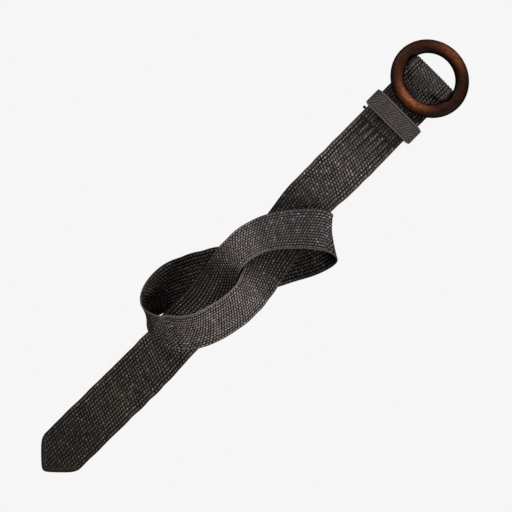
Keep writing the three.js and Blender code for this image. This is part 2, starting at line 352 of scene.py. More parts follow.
def fold_sections():
    """Sections round the bar: the strap's middle stays a running gap and half its thickness off the bar.
    The rows lie a little further out, since the spline cuts inside them by (2 + cos step) / 3."""
    radius = BAR_RADIUS + RUNNING_GAP + STRAP_THICKNESS / 2
    reach = 3 * radius / (2 + math.cos(math.radians(FOLD_STEP)))
    sections = []
    for degrees in range(FOLD_START, FOLD_END + 1, FOLD_STEP):
        turn = math.radians(degrees)
        x, z = RING_X + reach * math.cos(turn), RING_Z + reach * math.sin(turn)
        sections.append(("round the bar", x, RING_Y, z, 90, 0, FOLD_HALF))
    return sections


# %% [markdown]
# A band is a ruled surface. At length s along it there is a middle point, a direction across and a
# direction up, and any point of the weave is named by three numbers: s along, v across and w up. A yarn
# that is straight in those numbers follows every bend and twist of the strap by itself.


# %% Bands
class Band:
    """Middle points, directions across and up, and half widths, at lengths s, in millimetres."""

    def __init__(self, middle, across, half, nominal, looks=None):
        along = np.gradient(middle, axis=0)
        along /= np.linalg.norm(along, axis=1, keepdims=True)
        across = across - along * np.sum(across * along, axis=1, keepdims=True)
        across /= np.linalg.norm(across, axis=1, keepdims=True)
        steps = np.linalg.norm(np.diff(middle, axis=0), axis=1)
        self.middle, self.across, self.half = middle, across, half
        self.nominal, self.looks = nominal, looks
        self.up = np.cross(across, along)
        self.s = np.concatenate([[0], np.cumsum(steps)])
        self.length = self.s[-1]

    def at(self, values, s):
        """Values of the band at lengths s, read between its samples."""
        columns = values.reshape(len(self.s), -1).T
        found = np.stack([np.interp(s, self.s, column) for column in columns], axis=-1)
        return found if values.ndim > 1 else found[..., 0]

    def place(self, s, v, w):
        """Points in metres: the middle at s, plus v across, plus w up. v is stretched where the band is
        wider than its nominal width."""
        across, up = self.at(self.across, s), self.at(self.up, s)
        v = v * self.at(self.half, s) / self.nominal
        points = self.at(self.middle, s) + v[..., None] * across + w[..., None] * up
        return points * MM


def spline(controls, steps):
    """A uniform cubic B-spline near the controls, from the first to the last: each point is the mean of
    four controls with weights (1-t)^3, 3t^3-6t^2+4, -3t^3+3t^2+3t+1 and t^3, over 6."""
    first, last = 2 * controls[0] - controls[1], 2 * controls[-1] - controls[-2]
    padded = np.vstack([first, controls, last])
    t = np.arange(steps)[:, None] / steps
    weights = [(1 - t) ** 3, 3 * t**3 - 6 * t**2 + 4, -3 * t**3 + 3 * t**2 + 3 * t + 1, t**3]
    spans = [
        sum(weight * padded[i + k] for k, weight in enumerate(weights)) / 6 for i in range(len(padded) - 3)
    ]
    return np.vstack([*spans, controls[-1:]])


SAMPLES_PER_SPAN = 24
SIDEWAYS_WAVER, WIDTH_WAVER = 0.12, 0.17
WAVER_START_X, WAVER_END, WAVER_FADE = 160, 25, 20


def strap_band():
    """The strap's path from its sections. From WAVER_START_X to WAVER_END before the tip its edges waver:
    at length l the middle goes sideways as sin(l / 3.7 + 2 sin(l / 19)), and the half width grows as
    sin(l / 4.9 + 3 sin(l / 31)), each times its waver in mm."""
    rows = SEWN_END + fold_sections() + BUCKLE_SIDE + KNOT + TAIL
    x, y, z, bearing, lean, half = np.array([row[1:] for row in rows], dtype=float).T
    bearing, lean = np.radians(bearing), np.radians(lean)
    across = [np.cos(bearing) * np.cos(lean), np.sin(bearing) * np.cos(lean), np.sin(lean)]
    looks = [{**COMMON_LOOK, **LOOKS.get(row[0], {})} for row in rows]
    columns = [[look[column] for look in looks] for column in COMMON_LOOK]
    table = np.stack([x, y + KNOT_OVERHANG, z, *across, half, *columns], axis=1)
    samples = spline(table, SAMPLES_PER_SPAN)
    middle, across, half = samples[:, :3], samples[:, 3:6], samples[:, 6]
    length = np.concatenate([[0], np.cumsum(np.linalg.norm(np.diff(middle, axis=0), axis=1))])
    free = np.clip((WAVER_START_X - middle[:, 0]) / WAVER_FADE, 0, 1)
    free = free * np.clip((length[-1] - WAVER_END - length) / WAVER_FADE, 0, 1)
    sideways = SIDEWAYS_WAVER * free * np.sin(length / 3.7 + 2 * np.sin(length / 19))
    half = half + WIDTH_WAVER * free * np.sin(length / 4.9 + 3 * np.sin(length / 31))
    return Band(middle + sideways[:, None] * across, across, half, STRAP_WIDTH / 2, samples[:, 7:])


strap = strap_band()
print("strap, mm along its middle:", round(strap.length))

# %% [markdown]
# Waxed cord
#
# The strap is woven from waxed cotton cord, charcoal with a brown cast. Wax closes the fibres, so the cord
# is darker than plain cotton and has a soft, low gloss on each crown. Each crossing of the weave takes its
# own shade, since no two stretches of cord take up the dye and the wax alike.


# %% Cord material
FIBRE_SLANT = math.radians(52)
WAVES_PER_UNIT = 3.2
PATCH_SHADE = 0.16


def waxed_cord(name, deep, body, pale, roughness=0.55, fibre_mm=0.32):
    """Twisted fibres run slantwise round the cord, on its UV map, whose unit is a centimetre. At scale 1
    Blender's wave texture has WAVES_PER_UNIT of them."""
    material, output = new_material(name)
    tree = material.node_tree
    tone = add_node(tree, "ShaderNodeAttribute", {"attribute_name": "shade"})
    place = add_node(tree, "ShaderNodeTexCoord")
    patches = add_node(
        tree,
        "ShaderNodeTexNoise",
        {"Scale": 55.0, "Detail": 3.0, "Roughness": 0.6},
        {"Vector": place.outputs["Object"]},
    )
    mixed = add_node(
        tree,
        "ShaderNodeMath",
        {"operation": "MULTIPLY_ADD", 1: PATCH_SHADE},
        {0: patches.outputs["Fac"], 2: tone.outputs["Fac"]},
    )
    greys = colour_ramp(tree, mixed.outputs["Value"], [(0.15, deep), (0.6, body), (1.05, pale)])
    warmth = add_node(tree, "ShaderNodeAttribute", {"attribute_name": "warmth"})
    halved = add_node(
        tree, "ShaderNodeMath", {"operation": "MULTIPLY_ADD", 1: 0.5, 2: 0.5}, {0: warmth.outputs["Fac"]}
    )
    tint = colour_ramp(tree, halved.outputs["Value"], [(0, "#f0f4ff"), (0.5, "#ffffff"), (1, "#fff8e8")])
    colour = multiplied(tree, greys.outputs["Color"], tint.outputs["Color"])
    turned = {"Rotation": (0, 0, FIBRE_SLANT)}
    slant = add_node(tree, "ShaderNodeMapping", turned, {"Vector": place.outputs["UV"]})
    fibres = add_node(
        tree,
        "ShaderNodeTexWave",
        {"Scale": 10 / fibre_mm / WAVES_PER_UNIT, "Distortion": 1.2, "Detail": 2.0, "Detail Scale": 2.0},
        {"Vector": slant.outputs["Vector"]},
    )
    bump = {"Strength": 0.35, "Distance": 0.12 * MM}
    finish = {"Roughness": roughness, "Specular IOR Level": 0.1}
    dress(tree, output, colour, fibres.outputs["Fac"], bump, finish)
    return material


STRAP_CORD = waxed_cord("waxed cotton cord", "#100e0d", "#5b5451", "#9a918d")
EDGE_CORD = waxed_cord("waxed cotton edge cord", "#0a0808", "#4f4845", "#8b827e", fibre_mm=0.5)
# The long cords are coloured near black, darker than the crossing cord, as painted shade in the gaps between
# the rows
WARP_CORD_PAINTED_DARK = waxed_cord("waxed cotton warp", "#0f0e0d", "#1c1918", "#262220", roughness=0.9)
KEEPER_CORD = waxed_cord("waxed cotton keeper cord", "#0c0a0a", "#554e4b", "#928883")

# %% [markdown]
# The weave
#
# Fourteen thick cords lie side by side along the strap. A thinner cord crosses them from edge to edge and
# back, over one and under the next, and each crossing lies between two of the row before. It covers the
# long cords, so what shows is lengthwise ribs of short crosswise floats. Each row is one tube of many
# sides that rises and falls as a sine. All rows are worked out at once as one array.

# %% Weave sizes
RIB_PITCH = 3.3
RIB_COUNT = 14
ROW_PITCH = 1.43
WEAVE_HALF = RIB_PITCH * RIB_COUNT / 2
TIP_BLUNT_HALF = 3
TIP_SHOULDER_SHARPNESS = 8
YARN_SIDES = 6
SAMPLES_PER_RIB = 4
STRAP_FLOAT_HALF = 1.2
CROSSING_HALF = 0.5
CORD_HALF_DEPTH = 0.44
CROWN_FLATTENING = 0.03
ROW_LIFT = 0.56
ROW_SLANT = 0.34
ROW_WANDER = 0.17
CORD_SWELL = 0.16
END_TAPER = 0.45
CORD_ROUND_CM = 0.45
ROW_SHIFT_CM = 0.37
rng = np.random.default_rng(11)

# Shade values: how far the cords differ, how much paler the few palest are and from which draw on, and how
# much a crown is painted lighter than a crossing, either side of a level height: painted light on the crowns
# and painted shade at the crossings
CORD_SPREAD = 0.06
PALE_CORD, PALE_FROM = 0.08, 1.7
PAINTED_RELIEF_SHADE, RELIEF_LEVEL = 0.34, 0.6

# Where the tip's outline and the ends of the rows lie, outwards and inwards of the weave's edge
TIP_OUTSET, ROW_INSET = 1.2, 0.4
TIP_ROUNDING = 1


def tube_faces(tubes, rings, sides, closed=False):
    """Quads of many tubes whose points are stored tube by tube, ring by ring. Open tubes get end caps."""
    ring = np.arange(rings if closed else rings - 1)
    side = np.arange(sides)
    ahead = (ring + 1) % rings
    beside = (side + 1) % sides
    quad = np.stack(
        [
            ring[:, None] * sides + side,
            ring[:, None] * sides + beside,
            ahead[:, None] * sides + beside,
            ahead[:, None] * sides + side,
        ],
        axis=-1,
    ).reshape(-1, 4)
    offset = (np.arange(tubes) * rings * sides)[:, None, None]
    faces = [(quad + offset).reshape(-1, 4)]
    if not closed:
        fan = np.stack([np.zeros(sides - 2, int), side[2:], side[1:-1]], axis=-1)
        far = fan[:, ::-1] + (rings - 1) * sides
        faces.append((np.concatenate([fan, far]) + offset).reshape(-1, 3))
    return faces


def chevron(v):
    """How far the tip's outline falls back at v across the strap: d = (u^-n - h^-n)^(-1/n) - b, with b the
    blunt end's half width, h the strap's, n the shoulders' sharpness and u = sqrt(v^2 + b^2)."""
    u = np.sqrt(np.asarray(v, dtype=float) ** 2 + TIP_BLUNT_HALF**2)
    n = TIP_SHOULDER_SHARPNESS
    return (u**-n - (WEAVE_HALF + TIP_OUTSET) ** -n) ** (-1 / n) - TIP_BLUNT_HALF


def tip_half(length, s, inset):
    """Half the strap's width at s, less an inset, where the tip's sides close in on it."""
    fall = np.maximum(length - inset - s, 0) + TIP_BLUNT_HALF - TIP_ROUNDING
    n = TIP_SHOULDER_SHARPNESS
    return ((WEAVE_HALF - ROW_INSET) ** -n + fall**-n) ** (-1 / n)


def weave_rows(middles, turned, ribs, pitch, float_half, uneven):
    """Tubes of the crossing yarn, as arrays of s, v and w with the UV map, the cords' shade and the painted
    shade of the relief at each point. At v across, the row's height is ROW_LIFT * sin(pi * v / pitch),
    turned over in every second row. Its half width along the strap swells from CROSSING_HALF to float_half
    on a crown, as the root of the height. A tube is painted lightest where it is highest: painted light on
    the crowns and painted shade at the crossings. uneven is how far the cords stray from that, against the
    strap's own."""
    rows = len(middles)
    count = ribs * SAMPLES_PER_RIB + 1
    half = ribs * pitch / 2
    v = np.linspace(-half, half, count)
    wave = np.sin(np.pi * v / pitch)
    sign = np.where(turned, -1.0, 1.0)[:, None]
    crown = np.abs(wave)
    slant = ROW_SLANT * np.sin(2 * np.pi * v / pitch)
    wander = uneven * rng.normal(0, ROW_WANDER, (rows, ribs + 1))
    crossings = np.linspace(-half, half, ribs + 1)
    wander = np.stack([np.interp(v, crossings, line) for line in wander])
    swell = 1 + CORD_SWELL * uneven * rng.normal(0, 1, (rows, 1)) * crown
    s = middles[:, None] + slant + wander
    taper = np.ones(count)
    taper[[0, -1]] = END_TAPER
    wide = (CROSSING_HALF + (float_half - CROSSING_HALF) * np.sqrt(crown)) * swell * taper
    deep = (CORD_HALF_DEPTH - CROWN_FLATTENING * crown) * taper * np.ones((rows, 1))
    angle = 2 * np.pi * np.arange(YARN_SIDES) / YARN_SIDES
    tube_s = s[..., None] + wide[..., None] * np.cos(angle)
    tube_v = np.broadcast_to(v[:, None], tube_s.shape)
    tube_w = (ROW_LIFT * sign * wave)[..., None] + deep[..., None] * np.sin(angle)
    tone = uneven * rng.normal(0, 1, (rows, ribs))
    cell = np.minimum((np.arange(count) / SAMPLES_PER_RIB).astype(int), ribs - 1)
    height = np.abs(tube_w) / (ROW_LIFT + CORD_HALF_DEPTH)
    cords = (CORD_SPREAD * tone + PALE_CORD * (tone > PALE_FROM))[:, cell][..., None]
    # Painted shade: crowns lighter and crossings darker, by height
    relief = PAINTED_RELIEF_SHADE * (height - RELIEF_LEVEL)
    around_uv = np.broadcast_to(angle / (2 * np.pi) * CORD_ROUND_CM, tube_s.shape)
    along_uv = tube_v / 10 + ROW_SHIFT_CM * np.arange(rows)[:, None, None]
    uv = np.stack([along_uv, around_uv], axis=-1)
    return tube_s, tube_v, tube_w, uv, cords, relief


def weave(name, band, middles, turned, ribs, pitch, float_half, material, settle, uneven=1.0):
    """One piece from rows that may have different numbers of ribs. settle(s, v, w) says how far the cloth is
    pulled down at a place, in mm, its shade with painted light and shade, how strong the painted shade of
    its relief is and how brown it is."""
    points, uvs, shades, warmths, faces, offset = [], [], [], [], [], 0
    for count in np.unique(ribs):
        chosen = ribs == count
        rows = weave_rows(middles[chosen], turned[chosen], count, pitch, float_half, uneven)
        s, v, w, uv, cords, relief = rows
        down, lighter, contrast, warmth = settle(s, v, w)
        points.append(band.place(s, v, w - down).reshape(-1, 3))
        uvs.append(uv.reshape(-1, 2))
        shades.append((cords + relief * contrast + lighter).ravel())
        warmths.append(np.broadcast_to(warmth, s.shape).ravel())
        faces += [face + offset for face in tube_faces(len(s), s.shape[1], YARN_SIDES)]
        offset += s.size
    print(name, "rows:", len(middles))
    paint = {"shade": np.concatenate(shades), "warmth": np.concatenate(warmths)}
    return make_piece(name, np.concatenate(points), faces, material, np.concatenate(uvs), paint)


# %% [markdown]
# Rows end where the tip's cut sides begin, so towards the tip they have fewer ribs. The shade is not the
# same along the strap: the tail is darker than the knot. Where the doubled end is sewn on, the thread pulls
# the cloth down in one line across it and gathers it in pleats that run out towards the knot, and the line,
# the pleats and the gathers are painted darker as well, as painted shade in the creases.

# %% Rows of the strap
STRAP_PIECES = 4
STRAP_SHADE = 0.43
ROWS_START = 1.2
RIB_ROUNDING = 0.45
HEM_WIDTH = 3.6
SEAM_X = 173.5
# Painted shade: how much darker the seam, the pleats, the gathers and the rib grooves are painted
SEAM_DEPTH, SEAM_PAINTED_SHADE = 0.5, 0.3
PLEAT_DEPTH, PLEAT_WIDTH, PLEAT_TURN = 0.5, 1.1, 0.04
PLEAT_PAINTED_SHADE, PLEAT_HEAD_PAINTED_SHADE, PLEAT_HEAD = 0.25, 0.35, 7
GATHER_PLACE, GATHER_LENGTH, GATHER_PAINTED_SHADE, CRINKLE = 5, 6, 0.04, 0.12
RIB_GROOVE, RIB_GROOVE_PAINTED_SHADE, RIB_LEVEL = 0.35, 0.5, 0.3
SELVEDGE_START, SELVEDGE_FADE = 12, 4
TIP_GROOVES, TIP_GROOVES_START, TIP_GROOVES_FADE = 0.7, 32, 8
RIGHT_EDGE_START, RIGHT_EDGE_FADE = 6, 12

# The tail darkens and browns between these distances from the tip
TAIL_PLACES = [190, 130, 100, 20]
TAIL_DARKNESS = [0, 0.18, 0.18, 0.3]
TAIL_WARMTH = [0.2, 1, 1, 1]

# Each pleat's place across the strap and its length
PLEATS = [(-17.5, 20), (-11, 32), (-4.5, 18), (1.5, 36), (8, 26), (14.5, 34), (19, 16)]
fold = np.argmax(strap.middle[:, 0])
past_fold = slice(fold, fold + np.argmin(strap.middle[fold:, 0] > SEAM_X) + 1)
seam_s = np.interp(-SEAM_X, -strap.middle[past_fold, 0], strap.s[past_fold])
print("seam at s, mm:", round(seam_s, 1))


def strap_look(s, v, w):
    """The look of the strap at s, v and w, with its tone in full. The painted shade of the under face is
    added where w is negative, and that of the right edge grows outwards."""
    look = dict(zip(COMMON_LOOK, np.moveaxis(strap.at(strap.looks, s), -1, 0)))
    under = np.clip(0.5 - w, 0, 1)
    right = np.clip((v - RIGHT_EDGE_START) / RIGHT_EDGE_FADE, 0, 1)
    tail = strap.length - np.array(TAIL_PLACES)
    look["tone"] += look["under"] * under + look["right_edge"] * right
    look["tone"] -= np.interp(s, tail, TAIL_DARKNESS)
    look["warmth"] += np.interp(s, tail, TAIL_WARMTH)
    return look


def settle_strap(s, v, w):
    """The seam's groove is a bell curve 1 mm wide along the line -0.7 sin(0.55 v) - 0.4 sin(1.7 v), and the
    pleats are bell curves that fade from the seam; both are pulled down and painted darker, as painted shade
    in the creases. Just before it the cloth is gathered, painted darker, and crinkled in painted light and
    shade as sin(1.9 v + 0.8 sin(0.9 s)). Grooves part the ribs, deeper towards both edges and in the tip,
    and are painted darker as painted shade."""
    look = strap_look(s, v, w)
    past = s - seam_s + 0.7 * np.sin(0.55 * v) + 0.4 * np.sin(1.7 * v)
    groove = np.exp(-(past**2))
    down, lighter = SEAM_DEPTH * groove, -SEAM_PAINTED_SHADE * groove
    for place, length in PLEATS:
        fade = np.exp(-((past / length) ** 2)) * (past > 0)
        pleat = fade * np.exp(-(((v - place - PLEAT_TURN * past) / PLEAT_WIDTH) ** 2))
        down = down + PLEAT_DEPTH * pleat
        head = np.exp(-((past / PLEAT_HEAD) ** 2))
        lighter = lighter - (PLEAT_PAINTED_SHADE + PLEAT_HEAD_PAINTED_SHADE * head) * pleat
    gathered = np.exp(-(((past + GATHER_PLACE) / GATHER_LENGTH) ** 2))
    crinkle = CRINKLE * np.sin(1.9 * v + 0.8 * np.sin(0.9 * s))
    lighter = lighter + gathered * (crinkle - GATHER_PAINTED_SHADE)
    selvedge = np.clip((np.abs(v) - SELVEDGE_START) / SELVEDGE_FADE, 0, 1)
    in_tip = np.clip((s - strap.length + TIP_GROOVES_START) / TIP_GROOVES_FADE, 0, 1)
    parted = np.maximum(np.maximum(look["grooves"], selvedge), TIP_GROOVES * in_tip)
    between = np.cos(np.pi * v / RIB_PITCH) ** 2
    down = down + RIB_GROOVE * parted * between
    # Painted shade in the grooves between the ribs
    lighter = lighter - RIB_GROOVE_PAINTED_SHADE * parted * (between - RIB_LEVEL)
    return down, STRAP_SHADE + look["tone"] + lighter, look["contrast"], look["warmth"]


row_middles = np.arange(ROWS_START, strap.length - HEM_WIDTH, ROW_PITCH)
row_turned = np.arange(len(row_middles)) % 2 == 1
row_room = tip_half(strap.length, row_middles, HEM_WIDTH) / RIB_PITCH
row_ribs = 2 * np.floor(row_room + RIB_ROUNDING).astype(int)
keep_rows = row_ribs >= 2
row_middles, row_turned, row_ribs = row_middles[keep_rows], row_turned[keep_rows], row_ribs[keep_rows]
strap_pieces = [
    weave(
        f"strap_weave_{part + 1}",
        strap,
        row_middles[rows],
        row_turned[rows],
        row_ribs[rows],
        RIB_PITCH,
        STRAP_FLOAT_HALF,
        STRAP_CORD,
        settle_strap,
    )
    for part, rows in enumerate(np.array_split(np.arange(len(row_middles)), STRAP_PIECES))
]

# %% [markdown]
# The long cords under the rows
#
# The fourteen long cords hardly show, but they fill the strap and stop light from coming through. They are
# modelled as one closed band with a scalloped section, a scallop for each cord. Their colour is painted near
# black, as painted shade in the gaps between the rows.


# %% Long cords
CORE_SHADE = 0.4
CORE_GROOVE, CORE_SCALLOP = 0.2, 0.3
CORE_SAMPLES_PER_RIB = 3


def scalloped_core(name, band, s, half, ribs):
    """A closed band: its section is two rows of points, above and below, whose height is CORE_GROOVE
    between the cords and CORE_SCALLOP more on them, as |sin|."""
    across = np.linspace(-1, 1, ribs * CORE_SAMPLES_PER_RIB + 1)
    height = CORE_GROOVE + CORE_SCALLOP * np.abs(np.sin(np.pi * (across + 1) * ribs / 2))
    section_v = np.concatenate([across, across[::-1]])
    section_w = np.concatenate([height, -height])
    grid_s = np.broadcast_to(s[:, None], (len(s), len(section_v)))
    grid_v = half[:, None] * section_v
    grid_w = np.broadcast_to(section_w, grid_s.shape)
    points = band.place(grid_s, grid_v, grid_w)
    sides = len(section_v)
    low = np.arange(sides // 2 - 1)
    cap = np.stack([low, low + 1, sides - 2 - low, sides - 1 - low], axis=-1)
    faces = [tube_faces(1, len(s), sides)[0], cap[:, ::-1], cap + (len(s) - 1) * sides]
    uv = np.stack([grid_s / 10, grid_v / 10], axis=-1).reshape(-1, 2)
    paint = {"shade": np.full(grid_s.size, CORE_SHADE)}
    return make_piece(name, points.reshape(-1, 3), faces, WARP_CORD_PAINTED_DARK, uv, paint)


CORE_START, CORE_END, CORE_STEP = 0.9, 1.6, 3.0
CORE_TIP, CORE_TIP_STEPS = 35, 32
CORE_INSET, CORE_OUTSET = 1.2, 0.5
OUTSET_END, OUTSET_FADE = 8, 14

body_s = np.arange(CORE_START, strap.length - CORE_TIP - 1, CORE_STEP)
tip_s = np.linspace(strap.length - CORE_TIP, strap.length - CORE_END, CORE_TIP_STEPS)
core_s = np.concatenate([body_s, tip_s])
before_tip = np.clip((strap.length - core_s - OUTSET_END) / OUTSET_FADE, 0, 1)
core_half = tip_half(strap.length, core_s, CORE_INSET) + CORE_OUTSET * before_tip
strap_core = scalloped_core("strap_long_cords", strap, core_s, core_half, RIB_COUNT)

# %% [markdown]
# Edge cord
#
# A firmer two-ply cord runs along both edges, where the rows turn round it, and on round the tip. Its two
# plies give it the slight beading that the outline shows.


# %% Edge cord
PLY_SIDES = 8
PLY_SWELL = 0.125
PLY_PAINTED_SHADE = 0.2
PLY_ROUND_CM = 0.5


def twisted_cord(name, points, across, up, radius, lay, shade, warmth, closed):
    """A cord through points, in millimetres: the section is a circle whose radius swells and shrinks by
    PLY_SWELL, twice round, and turns once in each lay. Where it swells it is painted lighter and between the
    plies darker, as painted light and shade."""
    steps = np.linalg.norm(np.roll(points, -1, axis=0) - points, axis=1)
    steps[-1] *= closed
    length = np.concatenate([[0], np.cumsum(steps)[:-1]])
    turns = max(1, round(steps.sum() / lay))
    twist = 2 * np.pi * turns * length / steps.sum()
    angle = 2 * np.pi * np.arange(PLY_SIDES) / PLY_SIDES
    ply = np.cos(2 * (angle - twist[:, None]))
    swell = radius * (1 + PLY_SWELL * ply)
    ring = points[:, None] + (swell * np.cos(angle))[..., None] * across[:, None]
    ring = ring + (swell * np.sin(angle))[..., None] * up[:, None]
    around_uv = angle / (2 * np.pi) * PLY_ROUND_CM
    uv = np.stack(np.broadcast_arrays(length[:, None] / 10, around_uv), axis=-1).reshape(-1, 2)
    shade = np.reshape(shade, (-1, 1)) + PLY_PAINTED_SHADE * ply
    warmth = np.reshape(warmth, (-1, 1)) + np.zeros(shade.shape)
    faces = tube_faces(1, len(points), PLY_SIDES, closed)
    paint = {"shade": shade.ravel(), "warmth": warmth.ravel()}
    return make_piece(name, (ring * MM).reshape(-1, 3), faces, EDGE_CORD, uv, paint)


EDGE_RADIUS = 0.7
EDGE_LAY = 3.4
EDGE_PLACE = 23.2
EDGE_START, EDGE_END = 0.8, 0.85
EDGE_STEP = 0.75
TIP_STEPS, SEWN_STEPS = 90, 60
EDGE_SHADE = 0.39
RAISED_EDGE_PAINTED_LIGHT = 0.07


def strap_outline():
    """The strap's outline in s and v: up the left edge, round the tip and back down the right edge."""
    tip_v = np.linspace(-EDGE_PLACE, EDGE_PLACE, TIP_STEPS)
    tip_s = strap.length - EDGE_END - chevron(tip_v)
    side_s = np.arange(EDGE_START, tip_s[0], EDGE_STEP)
    side_v = np.full(len(side_s), EDGE_PLACE)
    end_v = np.linspace(EDGE_PLACE, -EDGE_PLACE, SEWN_STEPS)[1:-1]
    s = np.concatenate([side_s, tip_s, side_s[::-1], np.full(len(end_v), EDGE_START)])
    return s, np.concatenate([-side_v, tip_v, side_v, end_v])


def outline_cord(name, band, s, v, radius, lay, shade, warmth=0, closed=True):
    """A twisted cord along s and v on a band."""
    points = band.place(s, v, np.zeros(len(s))) / MM
    if closed:
        along = np.roll(points, -1, axis=0) - np.roll(points, 1, axis=0)
    else:
        along = np.gradient(points, axis=0)
    along /= np.linalg.norm(along, axis=1, keepdims=True)
    up = band.at(band.up, s)
    side = np.cross(up, along)
    side /= np.linalg.norm(side, axis=1, keepdims=True)
    up = np.cross(along, side)
    return twisted_cord(name, points, side, up, radius, lay, shade, warmth, closed)


edge_s, edge_v = strap_outline()
raised = np.sign(edge_v) * strap.at(strap.across, edge_s)[:, 2]
edge_look = strap_look(edge_s, edge_v, 0.5)
# Raised edges are painted lighter, as painted light where the edge faces the lamps; the edge also takes the
# strap's painted tone
edge_shade = EDGE_SHADE + edge_look["tone"] + RAISED_EDGE_PAINTED_LIGHT * np.clip(raised, -0.5, 1)
edge_warmth = edge_look["warmth"]
strap_edge = outline_cord(
    "strap_edge_cord", strap, edge_s, edge_v, EDGE_RADIUS, EDGE_LAY, edge_shade, edge_warmth
)
strap_pieces.append(strap_edge)

# %% [markdown]
# The tip's cut sides are hemmed: two more cords lie inside the edge cord and hold the ends of the rows.


# %% Hem of the tip
HEM_RADIUS = 0.85
HEM_LAY = 3.1
HEM_SHADE = 0.17
HEM_REACH = 30
HEM_SIDE_CUT = 0.8
HEM_STEPS = 200
HEM_INSETS = [1.5, 3.0]


def hem_cord(number, inset):
    """A cord that keeps an inset from the tip's outline, from one cut side round the tip to the other."""
    v = np.linspace(-EDGE_PLACE, EDGE_PLACE, HEM_STEPS)
    s = strap.length - EDGE_END - chevron(v)
    step_s, step_v = np.gradient(s), np.gradient(v)
    size = np.hypot(step_s, step_v)
    s, v = s - inset * step_v / size, v + inset * step_s / size
    chosen = (np.abs(v) < EDGE_PLACE - HEM_SIDE_CUT * inset) & (s > strap.length - HEM_REACH)
    s, v = s[chosen], v[chosen]
    name = f"strap_hem_{number}"
    return outline_cord(name, strap, s, v, HEM_RADIUS, HEM_LAY, HEM_SHADE, warmth=1, closed=False)


strap_pieces += [hem_cord(number + 1, inset) for number, inset in enumerate(HEM_INSETS)]

# %% [markdown]
# The seam's thread is knotted off at the strap's left edge, beside the keeper. The knot is a ball of thread
# as wide as the doubled strap's edge is thick.

# %% Thread knot
KNOT_RADIUS = 1.5
KNOT_X, KNOT_Y, KNOT_Z = 180.7, 24.3, 3.2
KNOT_RINGS, KNOT_SIDES = 12, 14
KNOT_POLE, KNOT_WAVE = 0.12, 0.12
KNOT_SHADE = 0.16


def thread_knot():
    """A small ball, drawn as rings from pole to pole and waved by an eighth of its radius."""
    rise = np.linspace(KNOT_POLE, np.pi - KNOT_POLE, KNOT_RINGS)[:, None]
    turn = 2 * np.pi * np.arange(KNOT_SIDES) / KNOT_SIDES
    radius = KNOT_RADIUS * (1 + KNOT_WAVE * np.sin(3 * turn + 4 * rise))
    around = radius * np.sin(rise)
    ball = [around * np.cos(turn) + KNOT_X, around * np.sin(turn) + KNOT_Y + KNOT_OVERHANG]
    points = np.stack([*ball, KNOT_Z - radius * np.cos(rise)], axis=-1).reshape(-1, 3)
    faces = tube_faces(1, KNOT_RINGS, KNOT_SIDES)
    paint = {"shade": np.full(len(points), KNOT_SHADE)}
    return make_piece("thread_knot", points * MM, faces, EDGE_CORD, points[:, :2] / 10, paint)


strap_pieces.append(thread_knot())

# %% [markdown]
# The keeper
#
# The keeper is a narrow strip of the same cloth closed into a loop, with its eight long cords running
# round the strap. It is the same weave on another band: a rectangle with round corners, drawn on end.

# %% Keeper band
KEEPER_LENGTH = 19
KEEPER_WIDTH = 58.6
KEEPER_HEIGHT = 15
KEEPER_WALL = 2.2
KEEPER_CORNER = 6
KEEPER_X, KEEPER_Y = 193.7, -1.8
KEEPER_RIBS = 8
KEEPER_RIB_PITCH = 2.2
KEEPER_ROW_PITCH = 1.3
KEEPER_STEPS = 600
BEND_NARROWING, BEND_REACH = 1.3, 3


def keeper_band():
    """The middle of the keeper's wall: a rectangle with round corners, worked out by length in four
    straights and four quarter circles, starting under the strap. It is BEND_NARROWING less each side where
    it bends, over a bell curve BEND_REACH wide."""
    corner = KEEPER_CORNER - KEEPER_WALL / 2
    wide = KEEPER_WIDTH / 2 - KEEPER_CORNER
    tall = KEEPER_HEIGHT - 2 * KEEPER_CORNER
    quarter = np.pi / 2 * corner
    knots = np.cumsum([0, wide, quarter, tall, quarter, 2 * wide, quarter, tall, quarter, wide])
    turn = np.array([0, 0, 1, 1, 2, 2, 3, 3, 4, 4]) * np.pi / 2
    s = np.linspace(0, knots[-1], KEEPER_STEPS)
    heading = np.interp(s, knots, turn)
    step = s[1] - s[0]
    level = (heading[1:] + heading[:-1]) / 2
    y = np.concatenate([[0], np.cumsum(np.cos(level) * step)])
    z = np.concatenate([[0], np.cumsum(np.sin(level) * step)]) + KEEPER_WALL / 2
    middle = np.stack([np.full(len(s), KEEPER_X), y + KEEPER_Y + KNOT_OVERHANG, z], axis=1)
    across = np.tile([-1.0, 0.0, 0.0], (len(s), 1))
    bend = np.exp(-(((np.abs(y - y.mean()) - KEEPER_WIDTH / 2) / BEND_REACH) ** 2))
    return Band(middle, across, KEEPER_LENGTH / 2 - BEND_NARROWING * bend, KEEPER_LENGTH / 2)


keeper = keeper_band()
print("keeper, mm round its middle:", round(keeper.length, 1))


# %% Keeper weave
KEEPER_SHADE, KEEPER_CONTRAST = 0.43, 0.7
KEEPER_GROOVE_PLACE, KEEPER_GROOVE_WIDTH, KEEPER_GROOVE = 7.7, 0.5, 0.2
BETWEEN_RIBS_PAINTED_SHADE = 0.12
KEEPER_FLOAT_HALF, KEEPER_UNEVEN = 1.1, 0.45
KEEPER_CORE_STEPS, KEEPER_CORE_INSET = 150, 0.3
KEEPER_EDGE_STEPS = 180
KEEPER_EDGE_RADIUS, KEEPER_EDGE_LAY, KEEPER_EDGE_SHADE = 0.72, 3.0, 0.53


def settle_keeper(s, v, w):
    """A groove inside each edge cord, as a bell curve, pulled down and painted darker, and fainter ones
    between the ribs, only painted darker: painted shade.
    """
    groove = KEEPER_GROOVE * np.exp(-(((np.abs(v) - KEEPER_GROOVE_PLACE) / KEEPER_GROOVE_WIDTH) ** 2))
    between = np.cos(np.pi * v / KEEPER_RIB_PITCH) ** 2
    shade = KEEPER_SHADE - groove - BETWEEN_RIBS_PAINTED_SHADE * (between - 0.5)
    return groove, shade, KEEPER_CONTRAST, 0


